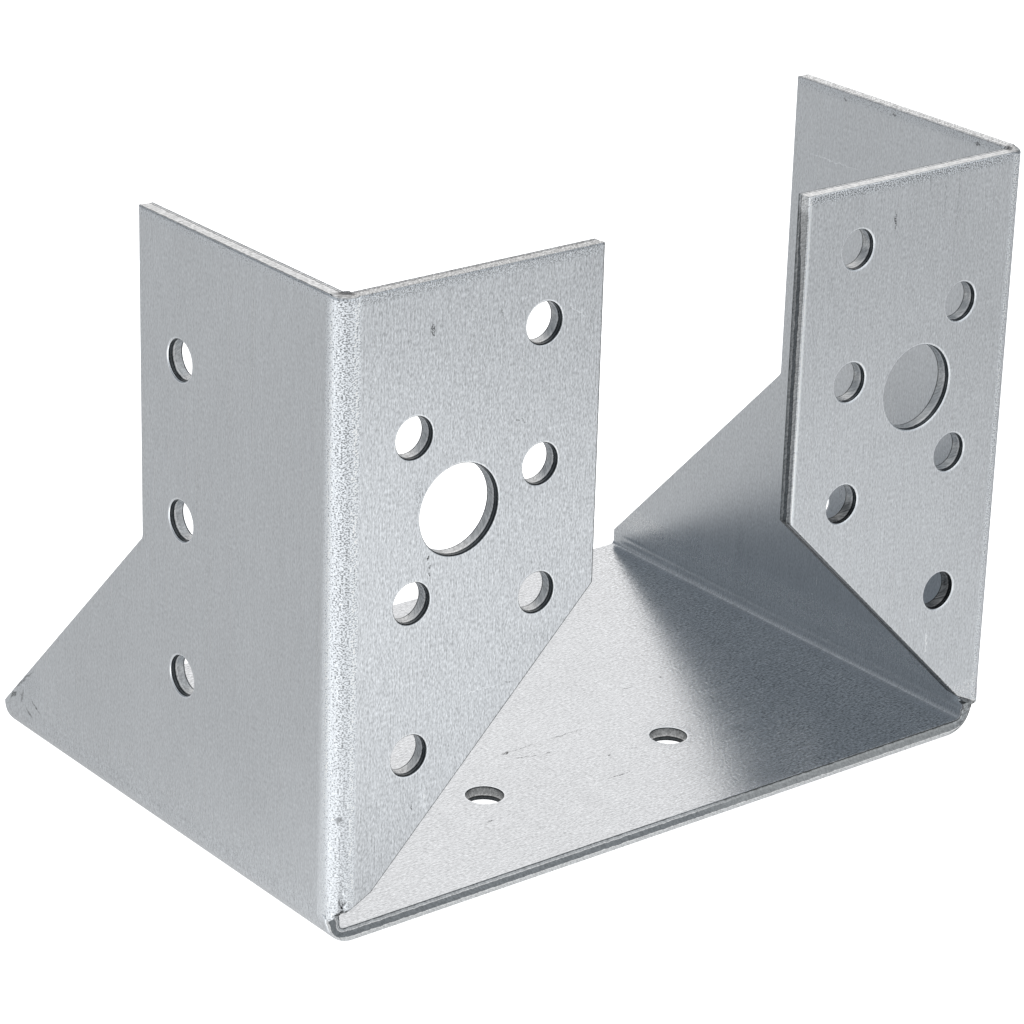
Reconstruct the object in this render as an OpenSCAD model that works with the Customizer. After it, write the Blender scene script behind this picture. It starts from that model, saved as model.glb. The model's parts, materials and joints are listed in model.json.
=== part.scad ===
// Beam hanger: one folded sheet with a seat, two cheeks and two flanges turned inward.
// The timber lies on the seat between the cheeks, and the flanges go against the header.
// X runs across the timber, Z is up, and the flanges face -Y. The origin is the middle
// of the underside. Heights of holes are measured down from the top edge of the sheet.

/* [Overall size] */
// Clear width between the two cheeks, which is the width of the timber
inside_w = 100; // [90:1:160]
// Height from the underside of the seat to the top edge
height = 80; // [76:1:140]
// Depth from the face of the flanges to the rear edge of the seat
seat_depth = 74; // [64:1:120]

/* [Sheet and bends] */
// Thickness of the galvanised sheet
sheet = 2; // [1.5:0.1:2.5]
// Inside radius of the bends between the seat and the cheeks
seat_bend_r = 2; // [1:0.1:3]
// Inside radius of the bends between the cheeks and the flanges
flange_bend_r = 0.5; // [0.3:0.1:1.5]

/* [Cheeks] */
// Depth of the upper part of a cheek, from the face of the flanges
cheek_depth = 40.5; // [38:0.5:55]
// Height of the corner where the rear edge of a cheek turns out along the slope
cheek_corner_h = 38.5; // [30:0.5:55]
// Radius inside that corner
cheek_corner_r = 1; // [0.5:0.1:3]
// Height of the cheek that is left at its rear edge, above the bend of the seat
cheek_heel_h = 0.2; // [0.1:0.1:6]

/* [Flanges] */
// Width of a flange, from the outer face of the cheek to the free edge
flange_w = 36.5; // [34:0.5:42]
// Height of the corner where the free edge turns in along the slope
flange_corner_h = 38.2; // [30:0.2:42]
// Width of the toe, the lowest part of the flange beside its bend
toe_w = 5; // [4.5:0.1:7]
// Height of the toe above the end of the flange bend
toe_rise = 2.5; // [1:0.1:6]
// Gap between the end of the flange bend and the start of the seat bend
relief_gap = 0.3; // [0.2:0.1:3]

/* [Nail holes in the flanges] */
// Diameter of every nail hole
nail_d = 5; // [4:0.1:6]
// Distance of the outer column from the outer face of the cheek
outer_column = 10; // [9:0.5:12]
// Distance of the inner column from the outer face of the cheek
inner_column = 28; // [26:0.5:29]
// Depth of the highest hole of the outer column below the top edge
outer_top = 18; // [17:0.5:20]
// Pitch from the highest hole to the middle one in the outer column
outer_pitch_high = 20; // [18:0.5:21]
// Pitch from the middle hole to the lowest one in the outer column
outer_pitch_low = 19; // [17:0.5:20]
// Depth of the highest hole of the inner column below the top edge
inner_top = 8; // [6:0.5:9]
// Pitch from the highest hole to the middle one in the inner column
inner_pitch_high = 17; // [15:0.5:18]
// Pitch from the middle hole to the lowest one in the inner column
inner_pitch_low = 16; // [12:0.5:16]

/* [Bolt holes in the flanges] */
// Diameter of the bolt hole in each flange
bolt_d = 11; // [9:0.5:11.5]
// Distance of the bolt hole from the outer face of the cheek
bolt_column = 16.5; // [16:0.5:18]
// Depth of the bolt hole below the top edge
bolt_top = 28; // [27:0.5:29]

/* [Nail holes in the cheeks and the seat] */
// Distance of the cheek holes from the face of the flanges
cheek_nail_y = 32; // [20:0.5:34]
// Depth of the highest cheek hole below the top edge
cheek_nail_top = 16.5; // [8:0.5:20]
// Pitch of the cheek holes
cheek_nail_pitch = 20; // [12:0.5:22]
// Distance between the two seat holes
seat_nail_pitch = 30; // [20:1:60]
// Distance of the seat holes from the face of the flanges
seat_nail_y = 20; // [14:0.5:40]

/* [Hidden] */
$fn = 64;
// How far a cutter stands out of the sheet on each side
cut_over = sheet / 2;
outer_w = inside_w + 2 * sheet;
seat_outer_r = seat_bend_r + sheet;
flange_outer_r = flange_bend_r + sheet;
// The seat starts behind the flanges, in line with the back of their sheet
seat_front = sheet;
bend_end_h = seat_outer_r + relief_gap;
toe_h = bend_end_h + toe_rise;
heel_h = seat_outer_r + cheek_heel_h;
// Depths of the holes below the top edge, from the highest hole down
outer_drops = [
    outer_top,
    outer_top + outer_pitch_high,
    outer_top + outer_pitch_high + outer_pitch_low
];
inner_drops = [
    inner_top,
    inner_top + inner_pitch_high,
    inner_top + inner_pitch_high + inner_pitch_low
];
cheek_drops = [for (i = [0:2]) cheek_nail_top + i * cheek_nail_pitch];

// A quarter turn of bent sheet in section, on the side of its centre towards -x and -y
module bend_section(r_in) {
    intersection() {
        difference() {
            circle(r = r_in + sheet);
            circle(r = r_in);
        }
        translate([-r_in - sheet, -r_in - sheet])
            square(r_in + sheet);
    }
}

// Left half of the channel's section: half of the seat, its bend and one cheek
module half_channel_section() {
    translate([seat_outer_r - outer_w / 2, seat_outer_r])
        bend_section(seat_bend_r);
    translate([seat_outer_r - outer_w / 2, 0])
        square([outer_w / 2 - seat_outer_r, sheet]);
    translate([-outer_w / 2, seat_outer_r])
        square([sheet, height - seat_outer_r]);
}

// Left half of the flanges' plan: one flange bend and its flange
module flange_section() {
    translate([flange_outer_r - outer_w / 2, flange_outer_r])
        bend_section(flange_bend_r);
    translate([flange_outer_r - outer_w / 2, 0])
        square([flange_w - flange_outer_r, sheet]);
}

// Round fill in the corner between a cheek's rear edge and its slope, in side view
module corner_fillet() {
    slope = atan2(cheek_corner_h - heel_h, seat_depth - cheek_depth);
    reach = cheek_corner_r * tan((90 - slope) / 2);
    centre = [cheek_depth + cheek_corner_r, cheek_corner_h + reach];
    difference() {
        polygon([
            [cheek_depth - cheek_corner_r / 2, cheek_corner_h - cheek_corner_r / 2],
            [cheek_depth + reach * cos(slope), cheek_corner_h - reach * sin(slope)],
            centre,
            [cheek_depth, cheek_corner_h + reach]
        ]);
        translate(centre)
            circle(r = cheek_corner_r);
    }
}

// Side view of the seat and the cheeks, depth from the flanges' face by height
module side_outline() {
    polygon([
        [seat_front, 0],
        [seat_depth, 0],
        [seat_depth, heel_h],
        [cheek_depth, cheek_corner_h],
        [cheek_depth, height],
        [flange_outer_r, height],
        [flange_outer_r, bend_end_h],
        [seat_front, bend_end_h]
    ]);
    corner_fillet();
}

// Front view of the left flange with its bend: the toe, the slope and the free edge
module flange_outline() {
    translate([-outer_w / 2, 0])
        polygon([
            [0, bend_end_h],
            [toe_w, toe_h],
            [flange_w, flange_corner_h],
            [flange_w, height],
            [0, height]
        ]);
}

// Seat and both cheeks: the channel cut to its side view
module channel() {
    intersection() {
        translate([0, seat_depth, 0])
            rotate([90, 0, 0])
                linear_extrude(height = seat_depth, convexity = 4)
                    for (side = [0, 1])
                        mirror([side, 0])
                            half_channel_section();
        translate([-outer_w / 2, 0, 0])
            rotate([90, 0, 90])
                linear_extrude(height = outer_w, convexity = 4)
                    side_outline();
    }
}

// Left flange with its bend, cut to its front view
module left_flange() {
    intersection() {
        linear_extrude(height = height, convexity = 4)
            flange_section();
        translate([0, flange_outer_r, 0])
            rotate([90, 0, 0])
                linear_extrude(height = flange_outer_r, convexity = 4)
                    flange_outline();
    }
}

// Cutter through a flange, at a distance from the cheek's outer face and below the top edge
module flange_cutter(column, drop, diameter) {
    translate([column - outer_w / 2, sheet + cut_over, height - drop])
        rotate([90, 0, 0])
            cylinder(h = sheet + 2 * cut_over, d = diameter);
}

// Every hole of the left flange
module left_flange_cutters() {
    for (drop = outer_drops)
        flange_cutter(outer_column, drop, nail_d);
    for (drop = inner_drops)
        flange_cutter(inner_column, drop, nail_d);
    flange_cutter(bolt_column, bolt_top, bolt_d);
}

// The three holes of the left cheek
module left_cheek_cutters() {
    for (drop = cheek_drops)
        translate([-outer_w / 2 - cut_over, cheek_nail_y, height - drop])
            rotate([0, 90, 0])
                cylinder(h = sheet + 2 * cut_over, d = nail_d);
}

// The two holes of the seat
module seat_cutters() {
    for (side = [-1, 1])
        translate([side * seat_nail_pitch / 2, seat_nail_y, -cut_over])
            cylinder(h = sheet + 2 * cut_over, d = nail_d);
}

// The whole hanger, folded from one sheet
module hanger() {
    color("silver")
        translate([0, -seat_depth / 2, 0])
            difference() {
                union() {
                    channel();
                    for (side = [0, 1])
                        mirror([side, 0, 0])
                            left_flange();
                }
                for (side = [0, 1])
                    mirror([side, 0, 0]) {
                        left_flange_cutters();
                        left_cheek_cutters();
                    }
                seat_cutters();
            }
}

hanger();
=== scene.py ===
"""Beam hanger: one folded sheet of galvanised steel, dressed over the CAD frame.

The sheet is modelled in millimetres as one half of its outer skin, mirrored, given its thickness
and rolled over at its cut edges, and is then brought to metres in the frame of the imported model.
"""
from functools import partial
import json
import math

import bpy
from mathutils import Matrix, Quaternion, Vector


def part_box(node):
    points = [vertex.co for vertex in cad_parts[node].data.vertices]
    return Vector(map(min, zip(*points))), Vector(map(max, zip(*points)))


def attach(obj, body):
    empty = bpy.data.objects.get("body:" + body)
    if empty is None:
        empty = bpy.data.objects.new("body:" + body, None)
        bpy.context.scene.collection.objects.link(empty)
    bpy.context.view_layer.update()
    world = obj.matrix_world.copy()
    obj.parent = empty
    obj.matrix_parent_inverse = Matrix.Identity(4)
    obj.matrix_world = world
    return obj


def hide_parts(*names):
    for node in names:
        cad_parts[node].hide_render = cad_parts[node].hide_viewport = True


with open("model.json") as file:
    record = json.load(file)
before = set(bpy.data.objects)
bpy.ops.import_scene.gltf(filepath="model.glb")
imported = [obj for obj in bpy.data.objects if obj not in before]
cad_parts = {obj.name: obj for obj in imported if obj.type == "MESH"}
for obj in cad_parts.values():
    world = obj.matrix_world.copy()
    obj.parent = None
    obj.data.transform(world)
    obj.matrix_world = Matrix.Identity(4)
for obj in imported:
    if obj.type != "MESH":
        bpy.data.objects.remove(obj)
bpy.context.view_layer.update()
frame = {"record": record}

# Sizes of the sheet in millimetres. The width, the height and the depth come from the frame.
MM = 0.001
LOW, HIGH = (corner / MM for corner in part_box("hanger"))
SIDE_X = HIGH.x
TOP_Z = HIGH.z
FACE_Y = LOW.y
REAR_Y = HIGH.y
SHEET = 2.0
SEAT_BEND_R = 4.0
FLANGE_BEND_R = 2.5
SEAT_FRONT_Y = FACE_Y + SHEET
BEND_Y = FACE_Y + FLANGE_BEND_R
BEND_X = SIDE_X - FLANGE_BEND_R
SEAT_X = SIDE_X - SEAT_BEND_R
CHEEK_DEPTH = 40.5
CHEEK_REAR_Y = FACE_Y + CHEEK_DEPTH
CHEEK_CORNER_Z = 38.5
CHEEK_CORNER_REACH = 0.41
HEEL_Z = 4.2
FLANGE_W = 36.5
FLANGE_CORNER_Z = 38.2
TOE_W = 5.0
TOE_Z = 6.8
BEND_END_Z = 4.3
FREE_X = SIDE_X - FLANGE_W
TOE_X = SIDE_X - TOE_W
# Lengths of the bends in the flat sheet, along the middle of its thickness
SEAT_ARC = (SEAT_BEND_R - SHEET / 2) * math.pi / 2
FLANGE_ARC = (FLANGE_BEND_R - SHEET / 2) * math.pi / 2
# How near two places are when they count as one, and how near two points are when they are merged
SLACK = 0.01
WELD = 0.001

# Cut edges: the punch rolls the outer skin over, shears a smooth band and then breaks the rest out. The
# skins have a margin of narrow faces along them, which is wider than the rollover
ROLLOVER = 0.24
BURR = 0.05
RIM_MARGIN = 0.3
SMOOTH_BAND = 0.78
BREAKOUT_START = 0.9
BREAKOUT_FLARE = 0.06

# A point is on a hole's wall or rim up to these distances from its centre along it and from its radius
HOLE_REACH = 3.0
HOLE_RIM = 0.27
HOLE_SIDES = 56
BEND_STEPS = 18
BESIDE_BEND = 0.8
CORNER_ROWS = (6.4, 7.2, 8.2, 9.5, 11.5, 15.0, 22.0)

# The nose of the press tool left the inside of the seat bends squarer than a round: a round has 2.0
FOLD_SQUARENESS = 8.0

# Squeezed lower end of a flange bend: how far it reaches on to the flange, below the bend's end and up,
# and angles in degrees round the bend, from the cheek to the flange
SQUEEZE_BESIDE = 6.0
SQUEEZE_BELOW = 1.0
SQUEEZE_TOP_Z = 10.5
CREASE_TURN = 57.0
CREASE_SPREAD = 5.0
CREASE_DEPTH = 0.5
BULGE_TURN = 35.0
BULGE_SPREAD = 24.0
BULGE_RISE = 0.14
# Its lip hangs below the height where it starts, more and more, once it is clear of the seat's front
LIP_TOP_Z = 7.2
LIP_DROP = 0.8
LIP_CLEAR = 0.15

# Upper end of a flange bend, where folding squeezed the inside up and drew the outside down
SWELL_REACH = 1.5
SWELL_RISE = 0.2
SWELL_SINK = 0.28

# The punched holes are narrower behind their break-out, by a ridge that catches the light
HOLE_RIDGE = 0.06
HOLE_BREAKOUT_END = 0.66
HOLE_BAND_START = 0.8

# The right half of the seat mirrors as if it rose a little towards its bend
SEAT_DISH = 1.4

# Wear in the flat sheet: middle along and across the grain, depth below the outer skin, half length
# and half width in millimetres, turn from the grain in degrees, and how much lighter or darker it is
WEAR_MARKS = (
    (-122.9, -46.7, 0.0, 1.2, 0.22, 0.0, -0.55),
    (-122.9, -56.4, 0.0, 2.0, 0.14, 170.0, -0.35),
    (-121.4, -66.9, 0.0, 2.3, 0.12, 130.0, 0.3),
    (-95.8, -46.6, 0.0, 0.32, 0.2, 0.0, -0.8),
    (-94.7, -46.9, 0.0, 0.32, 0.2, 0.0, -0.8),
    (-93.8, -46.8, 0.0, 0.32, 0.2, 160.0, -0.8),
    (-109.8, -59.0, 0.0, 0.5, 0.12, 90.0, -0.5),
    (-109.5, -59.8, 0.0, 0.6, 0.12, 130.0, -0.5),
    (-77.4, -52.3, 0.0, 7.3, 0.1, 90.0, 0.25),
    (-77.4, -50.5, 0.0, 1.5, 0.1, 90.0, -0.3),
    (-77.3, -58.6, 0.0, 1.0, 0.12, 100.0, -0.4),
    (-65.5, -46.6, 0.0, 2.3, 0.5, 160.0, 0.16),
    (-65.0, -44.9, 0.0, 0.7, 0.12, 0.0, -0.5),
    (-65.8, -35.7, 0.0, 0.6, 0.25, 0.0, -0.5),
    (-55.0, -35.95, 0.0, 1.1, 0.1, 170.0, -0.7),
    (-54.8, -36.15, 0.0, 0.9, 0.09, 10.0, -0.7),
    (-54.5, 34.5, 0.0, 1.1, 0.35, 50.0, -0.7),
    (-57.2, 32.4, 0.0, 4.4, 0.2, 50.0, -0.5),
    (-55.1, 32.4, 0.0, 1.4, 0.2, 20.0, -0.5),
    (-54.8, 29.2, 0.0, 1.4, 0.2, 120.0, -0.5),
    (-53.3, 30.8, 0.0, 1.1, 0.2, 120.0, -0.5),
    (-2.8, -9.1, 2.0, 3.9, 0.1, 0.0, -0.4),
    (4.7, -9.1, 2.0, 3.8, 0.12, 0.0, -0.55),
    (-5.6, -9.1, 2.0, 1.0, 0.18, 0.0, -0.9),
    (-3.9, -11.4, 2.0, 2.2, 0.14, 160.0, -0.5),
    (-1.0, -12.2, 2.0, 0.5, 0.16, 170.0, -0.8),
    (2.5, -22.3, 2.0, 2.2, 0.14, 0.0, -0.6),
    (5.0, -17.3, 2.0, 0.4, 0.18, 10.0, -0.7),
    (8.8, -17.2, 2.0, 1.3, 0.12, 160.0, -0.4),
    (19.7, -2.8, 2.0, 0.8, 0.14, 170.0, -0.6),
    (-18.9, -23.1, 2.0, 1.0, 0.14, 0.0, -0.5),
    (25.7, -2.5, 2.0, 0.35, 0.18, 160.0, -1.0),
    (123.3, -56.5, 0.0, 1.5, 0.2, 0.0, -0.6),
    (128.3, -51.0, 0.0, 3.4, 0.12, 0.0, -0.2),
    (125.2, -48.3, 0.0, 4.8, 0.12, 0.0, -0.2),
    (123.6, -46.1, 0.0, 4.8, 0.12, 0.0, -0.18),
    (64.8, -45.9, 0.0, 2.2, 0.14, 0.0, 0.4),
    (119.0, -4.2, 2.0, 7.4, 0.1, 90.0, 0.25),
    (127.8, -5.9, 2.0, 0.5, 0.16, 90.0, -0.6),
    (128.0, -15.0, 2.0, 0.5, 0.16, 90.0, -0.6),
    (127.9, -30.1, 2.0, 0.5, 0.16, 90.0, -0.6),
    (60.0, -6.1, 2.0, 0.9, 0.12, 0.0, 1.0),
    (57.9, -5.4, 2.0, 0.3, 0.14, 110.0, 0.7),
    (52.3, -9.1, 2.0, 0.3, 0.14, 110.0, 0.7),
)
# Roughened zinc round the seat holes and at the lower rear corner of the left cheek, stated likewise
ROUGH_PATCHES = (
    (-15.0, -17.0, 2.0, 4.4, 4.4, 0.0, 0.4),
    (15.0, -17.0, 2.0, 4.4, 4.4, 0.0, 0.4),
    (-56.5, 32.0, 0.0, 6.0, 3.6, 60.0, 0.7),
    (-103.4, -45.6, 0.0, 3.0, 1.4, 160.0, 0.35),
)

# Greys of the zinc, of the bands, lines and shade of a cut outline, and of a hole's wall
ZINC_GREY = "#D4D8DC"
BURNISHED_GREY = "#D9DCDE"
BREAKOUT_GREY = "#8A8F93"
BURR_GREY = "#BEC2C5"
BAND_LINE_GREY = "#F2F3F4"
SHADE_GREY = "#43474B"
DEEP_SHADE_GREY = "#1E2022"
FADED_GREY = "#A9ADAF"
HOLE_BREAKOUT_GREY = "#606467"
HOLE_WALL_GREY = "#DCDEDF"
# Lines in a hole's wall, from the outer skin inwards: depth, half width and grey
HOLE_LINES = (
    (0.16, 0.12, "#2E3133"),
    (0.6, 0.09, "#2E3133"),
    # A painted highlight
    (0.84, 0.12, "#FFFFFF"),
    (1.9, 0.1, "#55595C"),
)

# Patterns of the zinc: name, length along the grain and width across it in millimetres, and detail. Real
# grains are finer, and these are as coarse as they need to show
GRAIN_SIZES = (
    ("grain", 0.5, 0.2, 1.0),
    ("line", 3.2, 0.26, 2.0),
    ("streak", 34.0, 1.3, 3.0),
    ("cloud", 26.0, 16.0, 3.0),
    ("speckle", 0.16, 0.14, 0.0),
)
GRAIN_CONTRAST = 1.12

# In the materials, along, across and depth are millimetres in the flat sheet. Along it the seat ends at
# 48, its bends end at 52.7 and the tops lie at 128.7, with a minus sign on the left, and reach is that
# without the sign. Across it the flange bends run from -34.5 to -36.9, and the free edges lie at -70.9.
# What differs from the left half to the right one changes over this range along it
LEFT_TO_RIGHT = (-1.0, 1.0)
# How far along the seat the edge of the dark reflection moves for every millimetre across it
SHADE_SKEW = -0.417
# Cut edges of a flange in the flat sheet: the free edge across it, and the slope and the toe, each with
# its direction into the flange and its place in that direction
FREE_EDGE = -70.856
SLOPE_EDGE = ((0.708, 0.706, 0.0), 11.506)
TOE_EDGE = ((0.889, 0.457, 0.0), 31.35)
# Widths of the rolled rim there, on the left and on the right flange
FREE_RIM_WIDTHS = (0.32, 0.6)
SLOPE_RIM_WIDTHS = (0.32, 0.2)

# Settings that many nodes share. The sockets of a colour Mix node go by number, because others of the
# same names come before them
SOFT = {"interpolation_type": "SMOOTHSTEP"}
COLOUR_MIX = {"output": 2, "data_type": "RGBA"}
FACTOR = 0
FIRST = 6
SECOND = 7

# Soft light: its colour all round, and panels with azimuth, elevation, core and edge in degrees, and
# colour
FROM_ALL_ROUND = (0.248, 0.266, 0.286)
SOFT_PANELS = (
    (62.0, 27.0, 15.0, 36.0, (0.835, 0.787, 0.748)),
    (-95.0, 35.0, 25.0, 75.0, (0.6, 0.6, 0.6)),
    (0.0, 90.0, 15.0, 45.0, (0.35, 0.35, 0.35)),
)
# The stage, with heights in millimetres: the floor that the camera sees, and the table that the metal
# mirrors, bright round one place and dimmer away from it
STAGE_SIZE = 4.0
FLOOR_Z = -0.5
TABLE_Z = -1.0
TABLE_BRIGHT_AT = (-22.0, -162.0, TABLE_Z)
TABLE_FALLOFF = 208.0
TABLE_BRIGHT = 1.14
TABLE_DIM = 0.628
# The strong light on the left: a wedge of the table that opens from the fold of the left cheek
LEFT_GLOW_TOWARDS = (-0.966, -0.259, 0.0)
LEFT_GLOW_EDGE = 0.64
LEFT_GLOW_CORE = 0.88
LEFT_GLOW = 0.84

# The camera: places in millimetres, and its roll in degrees
CAMERA_PLACE = Vector((-271.93, -343.34, 210.28))
CAMERA_AIM = Vector((-11.604, -16.533, 39.24))
CAMERA_ROLL = 1.69
CAMERA_LENS = 130.47
CAMERA_SENSOR = 36.0


def hole_places():
    """Centre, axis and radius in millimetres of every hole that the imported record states."""
    places = []
    for mount in frame["record"]["mounts"]:
        if mount["kind"] != "bolt_pattern":
            continue
        centre = Vector(mount["pos_m"]) / MM
        axis = Vector(mount["axis"])
        along = Vector((0, 1, 0)) if abs(axis.x) < 0.5 and abs(axis.y) < 0.5 else Vector((0, 0, 1))
        across = Vector((1, 0, 0)) if abs(axis.x) < 0.5 else Vector((0, 1, 0))
        half_x = mount["dims"].get("spacing_x_mm", 0) / 2
        half_y = mount["dims"].get("spacing_y_mm", 0) / 2
        steps_x = (-half_x, half_x) if half_x else (0,)
        steps_y = (-half_y, half_y) if half_y else (0,)
        if abs(axis.x) > 0.5:
            # A cheek has a third hole halfway between the two that its mount names
            steps_y = (-half_y, 0, half_y)
        for dx in steps_x:
            for dy in steps_y:
                places.append((centre + across * dx + along * dy, axis, mount["dims"]["hole_r_mm"]))
    return places


HOLES = hole_places()


def in_a_hole(point):
    """Whether a point lies on the wall or the rim of a hole."""
    for centre, axis, radius in HOLES:
        arm = point - centre
        height = arm.dot(axis)
        if abs(height) < HOLE_REACH and near((arm - axis * height).length, radius, HOLE_RIM):
            return True
    return False


def deselect_all():
    """Leaves object mode with nothing selected."""
    if bpy.context.object and bpy.context.object.mode == "EDIT":
        bpy.ops.object.mode_set(mode="OBJECT")
    bpy.ops.object.select_all(action="DESELECT")


def pick(kind, test):
    """Selects the vertices, edges or faces of the edited mesh whose corners all pass a test."""
    sheet = bpy.context.object
    bpy.ops.mesh.select_mode(type=kind)
    bpy.ops.mesh.select_all(action="DESELECT")
    bpy.ops.object.mode_set(mode="OBJECT")
    points = sheet.data.vertices
    if kind == "VERT":
        for point in points:
            point.select = test(point.co)
    else:
        for part in sheet.data.edges if kind == "EDGE" else sheet.data.polygons:
            part.select = all(test(points[i].co) for i in part.vertices)
    bpy.ops.object.mode_set(mode="EDIT")


def near(a, b, slack=SLACK):
    """Whether two sizes in millimetres are the same, up to some slack."""
    return abs(a - b) < slack


def cut(point, normal, drop=False):
    """Bisects what is selected, and drops what lies on the side that the normal points to."""
    bpy.ops.mesh.bisect(plane_co=point, plane_no=normal, clear_outer=drop, threshold=WELD / 10)


def edited_points(test):
    """The points of the edited mesh that pass a test, in object mode while they are moved by hand."""
    sheet = bpy.context.object
    bpy.ops.object.mode_set(mode="OBJECT")
    for vertex in sheet.data.vertices:
        if test(vertex.co):
            yield vertex.co
    bpy.ops.object.mode_set(mode="EDIT")


def move(x=0.0, y=0.0, z=0.0):
    """Moves what is selected."""
    bpy.ops.transform.translate(value=(x, y, z))


def extrude_edges(x=0.0, y=0.0, z=0.0):
    """Draws the selected edges out into faces."""
    bpy.ops.mesh.extrude_region_move(TRANSFORM_OT_translate={"value": (x, y, z)})


def punch(test, axis, round_corner=None):
    """Turns a flat panel of the left half, which a test picks, into one outline and fills it again
    round its holes."""
    pick("FACE", test)
    bpy.ops.mesh.dissolve_faces()
    bpy.ops.mesh.delete(type="ONLY_FACE")
    if round_corner:
        pick("VERT", lambda p: (p - round_corner).length < SLACK)
        bpy.ops.mesh.bevel(offset=CHEEK_CORNER_REACH, segments=4, affect="VERTICES")
    turn = {"x": (0, math.pi / 2, 0), "y": (math.pi / 2, 0, 0), "z": (0, 0, 0)}[axis]
    for centre, _, radius in HOLES:
        if centre.x < 0 and test(centre):
            bpy.ops.mesh.primitive_circle_add(
                vertices=HOLE_SIDES, radius=radius, location=centre, rotation=turn)
    pick("EDGE", test)
    bpy.ops.mesh.fill(use_beauty=True)


def left_skin():
    """Outer skin of the left half: seat, seat bend, cheek, flange bend and flange, with no thickness."""
    deselect_all()
    half_depth = (REAR_Y - SEAT_FRONT_Y) / 2
    bpy.ops.mesh.primitive_plane_add(size=2, location=(-SEAT_X / 2, SEAT_FRONT_Y + half_depth, 0))
    skin = bpy.context.object
    skin.scale = (SEAT_X / 2, half_depth, 1)
    bpy.ops.object.transform_apply(location=True, rotation=True, scale=True)
    bpy.ops.object.mode_set(mode="EDIT")

    # Seat bend, and above it the start of the cheek, which steps back to the flange bend
    pick("EDGE", lambda p: near(p.x, -SEAT_X))
    bpy.ops.mesh.spin(
        steps=BEND_STEPS, angle=math.pi / 2, center=(-SEAT_X, 0, SEAT_BEND_R), axis=(0, -1, 0))
    pick("EDGE", lambda p: near(p.x, -SIDE_X) and near(p.z, SEAT_BEND_R))
    extrude_edges(z=BEND_END_Z - SEAT_BEND_R)
    pick("VERT", lambda p: near(p.z, BEND_END_Z) and near(p.y, SEAT_FRONT_Y))
    move(y=BEND_Y - SEAT_FRONT_Y)

    # Cheek: the lower part over the whole depth, the upper part, and the slope between them
    pick("EDGE", lambda p: near(p.z, BEND_END_Z))
    extrude_edges(z=CHEEK_CORNER_Z - BEND_END_Z)
    pick("FACE", lambda p: near(p.x, -SIDE_X) and p.z > BEND_END_Z - SLACK)
    cut((0, CHEEK_REAR_Y, 0), (0, 1, 0))
    pick("EDGE", lambda p: near(p.z, CHEEK_CORNER_Z) and p.y < CHEEK_REAR_Y + SLACK)
    extrude_edges(z=TOP_Z - CHEEK_CORNER_Z)
    pick("FACE", lambda p: near(p.x, -SIDE_X) and p.z < CHEEK_CORNER_Z + SLACK)
    slope = Vector((0, CHEEK_CORNER_Z - HEEL_Z, REAR_Y - CHEEK_REAR_Y)).normalized()
    cut((0, REAR_Y, HEEL_Z), slope, drop=True)

    # Flange bend, whose lower end rises towards the toe, and the flange with its slope
    pick("EDGE", lambda p: near(p.x, -SIDE_X) and near(p.y, BEND_Y))
    bpy.ops.mesh.spin(
        steps=BEND_STEPS, angle=math.pi / 2, center=(-BEND_X, BEND_Y, 0), axis=(0, 0, -1))
    pick("EDGE", lambda p: near(p.x, -BEND_X) and near(p.y, FACE_Y))
    extrude_edges(x=BEND_X - TOE_X)
    extrude_edges(x=TOE_X - FREE_X)
    toe_rise = (TOE_Z - BEND_END_Z) / TOE_W
    for point in edited_points(lambda p: near(p.z, BEND_END_Z) and p.y < BEND_Y - SLACK):
        from_side = point.x + SIDE_X
        point.z = FLANGE_CORNER_Z if near(point.x, -FREE_X) else BEND_END_Z + toe_rise * from_side
    for height in CORNER_ROWS:
        pick("FACE", lambda p: p.y < BEND_Y + SLACK and p.x < -BEND_X + SLACK and p.z > BEND_END_Z - SLACK)
        cut((0, 0, height), (0, 0, 1))

    # A narrow flat strip beside each bend, so that its rounded shading ends there
    pick("FACE", lambda p: True)
    cut((-SEAT_X + BESIDE_BEND, 0, 0), (1, 0, 0))
    pick("FACE", lambda p: near(p.x, -SIDE_X))
    cut((0, BEND_Y + BESIDE_BEND, 0), (0, 1, 0))
    pick("FACE", lambda p: near(p.x, -SIDE_X))
    cut((0, 0, SEAT_BEND_R + BESIDE_BEND), (0, 0, 1))
    pick("FACE", lambda p: near(p.y, FACE_Y))
    cut((-BEND_X + BESIDE_BEND, 0, 0), (1, 0, 0))

    pick("EDGE", lambda p: near(p.x, -SIDE_X) and near(p.z, BEND_END_Z) and p.y > BEND_Y - SLACK)
    bpy.ops.mesh.dissolve_edges(use_verts=False)
    inner_y = BEND_Y + BESIDE_BEND - SLACK
    inner_z = SEAT_BEND_R + BESIDE_BEND - SLACK
    punch(lambda p: near(p.z, 0) and p.x > -SEAT_X + BESIDE_BEND - SLACK, "z")
    punch(lambda p: near(p.x, -SIDE_X) and p.y > inner_y and p.z > inner_z, "x",
          Vector((-SIDE_X, CHEEK_REAR_Y, CHEEK_CORNER_Z)))
    punch(lambda p: near(p.y, FACE_Y) and -BEND_X + BESIDE_BEND - SLACK < p.x < 0, "y")
    bpy.ops.object.mode_set(mode="OBJECT")
    return skin


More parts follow.
